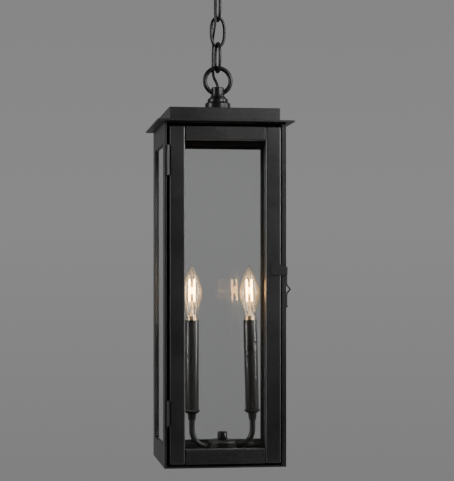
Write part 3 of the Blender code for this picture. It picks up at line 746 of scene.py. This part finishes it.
# ------------------------------------------------------------------ lamp cluster
cx, cy = 8.0, 5.0
put(lathe("hub_shell", [(0, 34.0)] + rounded([(18.6, 34.0), (20.2, 33.6), (20.4, 32.4), (22.0, 31.4), (22.3, 30.0), (22.3, 2.3), (20.5, 2.3),
                                              (20.5, 29.8), (18.4, 31.8)], 0.7, 4) + [(0, 31.8)], 96, (cx, cy, 0)),
    "lantern", "cluster_hub", SATIN)
put(lathe("knob_turned", [(0, 46.6)] + rounded([(6.6, 46.6), (7.8, 45.4), (7.8, 36.4), (7.0, 34.3)], 0.8, 4) + [(0, 34.3)], 64, (cx, cy, 0)),
    "hub_knob", "hub_knob", SATIN)
for word, side in (("left", -1), ("right", 1)):
    xa = cx + side * 49.2
    pts = [P(cx + side * 22.7, cy, 23.4)]
    for i in range(25):
        t = pi / 2 * i / 24
        q = P(xa - side * 26 + side * 26 * sin(t), cy, 23.4 + 26 - 26 * cos(t))
        if (q - pts[-1]).length > 0.0005:
            pts.append(q)
    pts += [P(xa, cy, 60), P(xa, cy, 70.5)]
    put(rod("bent_arm_" + word, pts, 4.6), "lantern", "arm_" + word, SATIN)

    tilt = radians(-1.45) if side > 0 else 0.0
    at = (xa, cy, 65.4)
    body = "bulb_" + word
    put(lathe("bobeche_" + word, rounded([(13.0, 16.2), (13.0, 14.6), (11.2, 12.6), (7.6, 10.6), (6.8, 9.6), (5.9, 0.0), (5.05, 0.0),
                                          (5.05, 10.0), (10.6, 14.2), (11.6, 16.2)], 0.5, 4, True), 72, at, tilt, True),
        "lantern", "cup_" + word, SATIN)
    put(lathe("holder_" + word, [(0, 152.0)] + rounded([(9.6, 152.0), (9.6, 122.0), (5.0, 118.0), (4.4, 10.6)], 0.6, 3) + [(0, 10.6)], 40, at, tilt),
        "lantern", "lampholder_" + word, PLASTIC)
    put(lathe("candle_tube_" + word, rounded([(10.1, 161.0), (11.0, 161.0), (11.0, 16.5), (10.1, 16.5)], 0.3, 3, True), 72, at, tilt, True),
        "lantern", "sleeve_" + word, TUBE)
    thread = [(8.7, 167.2), (8.9, 166.6)]
    for k in range(24):
        thread.append((8.7 - 0.28 * (1 - cos(2 * pi * k / 6)) / 2, 165.6 - 0.28 * k))
    put(lathe("screw_cap_" + word, [(0, 167.2)] + thread + [(8.6, 158.4), (6.0, 156.4), (6.0, 152.3), (0, 152.3)], 56, at, tilt),
        body, "lamp_base_" + word, BRASS)

    ctrl = [(9.2, 167.5), (10.8, 176.9), (13.1, 186.5), (15.2, 194.8), (16.2, 203.6), (15.4, 211.5), (13.0, 220.0), (9.4, 231.5),
            (5.6, 240.0), (2.6, 245.6), (0.9, 248.5)]
    curve = [(v.x, v.y) for v in catmull([(r, h, 0) for r, h in ctrl], 5)]
    outer_g = [(0, 248.9)] + curve[::-1]
    inner_g = [(max(r - 0.4, 0.3), h - (0.5 if h > 238 else 0.0)) for r, h in curve[:-2]] + [(0, 247.9)]
    o = lathe("bulb_envelope_" + word, outer_g + inner_g, 64, at, tilt)
    put(o, body, "lamp_glass_" + word, BULB)

    stem = lathe("stem_" + word, [(0, 192.0), (1.6, 191.8), (2.0, 190.0), (1.5, 186.0), (1.7, 179.0), (3.0, 171.5), (4.4, 168.6), (4.4, 167.7), (0, 167.7)],
                 32, at, tilt)
    put(stem, body, None, STEM)
    sticks = []
    for k in range(4):
        a = pi / 4 + k * pi / 2
        s = lathe("stick", [(0, 225.9)] + rounded([(0.95, 225.9), (0.95, 190.6)], 0.3, 2) + [(0, 190.6)], 12)
        s.data.transform(Matrix.Translation(P(0, 0, 0)).inverted())
        s.data.transform(Matrix.Translation((5.6 * MM * cos(a), 5.6 * MM * sin(a), 0)))
        s.data.transform(Matrix.Translation(P(*at)) @ Matrix.Rotation(tilt, 4, "Y"))
        sticks.append(s)
    bm = bmesh.new()
    for s in sticks:
        bm.from_mesh(s.data)
    me = bpy.data.meshes.new("sticks_" + word)
    bm.to_mesh(me)
    bm.free()
    for s in sticks:
        bpy.data.objects.remove(s, do_unlink=True)
    lit = smooth(link(bpy.data.objects.new("sticks_" + word, me)))
    put(lit, body, "filament_" + word, LIGHT)
    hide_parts("filament_" + word)
    glow = bpy.data.lights.new("glow_" + word, "POINT")
    glow.energy = 0.14
    glow.color = (1.0, 0.42, 0.10)
    glow.shadow_soft_size = 0.006
    g = link(bpy.data.objects.new("glow_" + word, glow))
    g.location = P(*at) + Vector((sin(tilt) * 0.208, 0, cos(tilt) * 0.208))
    g.parent = lit

# ------------------------------------------------------------------ studio
world = bpy.data.worlds.new("studio")
bpy.context.scene.world = world
world.use_nodes = True
wt = world.node_tree
bg = wt.nodes["Background"]
tc = wt.nodes.new("ShaderNodeTexCoord")
sep = wt.nodes.new("ShaderNodeSeparateXYZ")
wt.links.new(tc.outputs["Generated"], sep.inputs["Vector"])
mr = wt.nodes.new("ShaderNodeMapRange")
mr.inputs["From Min"].default_value = -0.13
mr.inputs["From Max"].default_value = 0.18
wt.links.new(sep.outputs["Z"], mr.inputs["Value"])
cr = wt.nodes.new("ShaderNodeValToRGB")
cr.color_ramp.elements[0].color = (0.218, 0.218, 0.218, 1)
cr.color_ramp.elements[1].color = (0.245, 0.245, 0.245, 1)
mid = cr.color_ramp.elements.new(0.55)
mid.color = (0.262, 0.262, 0.262, 1)
wt.links.new(mr.outputs["Result"], cr.inputs["Fac"])
wt.links.new(cr.outputs["Color"], bg.inputs["Color"])
# the backdrop is bright, but the room in front of it is dark: only the softboxes light the paint there
lp = wt.nodes.new("ShaderNodeLightPath")
seen = wt.nodes.new("ShaderNodeMath")
seen.operation = "ADD"
wt.links.new(lp.outputs["Diffuse Depth"], seen.inputs[0])
wt.links.new(lp.outputs["Glossy Depth"], seen.inputs[1])
seen.use_clamp = True
behind = wt.nodes.new("ShaderNodeMapRange")
behind.inputs["From Min"].default_value = -0.05
behind.inputs["From Max"].default_value = 0.35
behind.inputs["To Min"].default_value = 0.04
behind.inputs["To Max"].default_value = 0.78
wt.links.new(sep.outputs["Y"], behind.inputs["Value"])
power = wt.nodes.new("ShaderNodeMapRange")
power.inputs["To Min"].default_value = 1.0
wt.links.new(seen.outputs["Value"], power.inputs["Value"])
wt.links.new(behind.outputs["Result"], power.inputs["To Max"])
wt.links.new(power.outputs["Result"], bg.inputs["Strength"])


def softbox(name, where, size, power, aim=(0, 0, -0.55)):
    l = bpy.data.lights.new(name, "AREA")
    l.shape = "RECTANGLE"
    l.size, l.size_y = size
    l.energy = power
    o = link(bpy.data.objects.new(name, l))
    o.location = where
    o.rotation_euler = (Vector(aim) - Vector(where)).to_track_quat("-Z", "Y").to_euler()
    return o


softbox("softbox_left", (-2.2, -0.40, 0.00), (0.45, 1.6), 54.0, (0, 0, -0.45))
softbox("softbox_right", (2.2, -0.55, 0.00), (0.55, 1.6), 54.0, (0, 0, -0.45))
softbox("key_high_right", (0.94, -1.20, 0.16), (0.5, 0.5), 30.0, (0, 0, -0.45))

bm = bmesh.new()
bmesh.ops.create_grid(bm, x_segments=1, y_segments=1, size=1.0)
me = bpy.data.meshes.new("floor")
bm.to_mesh(me)
bm.free()
floor = link(bpy.data.objects.new("floor", me))
floor.scale = (1.6, 1.25, 1)
floor.location = (0, 0.0, -1.45)
fm, nt, b = new_material("pale_floor")
n = noise(nt, coords(nt), 3.0, 3.0)
nt.links.new(ramp(nt, n, [(0.3, (0.50, 0.50, 0.50)), (0.7, (0.54, 0.54, 0.54))]), b.inputs["Base Color"])
b.inputs["Roughness"].default_value = 0.8
floor.data.materials.append(fm)
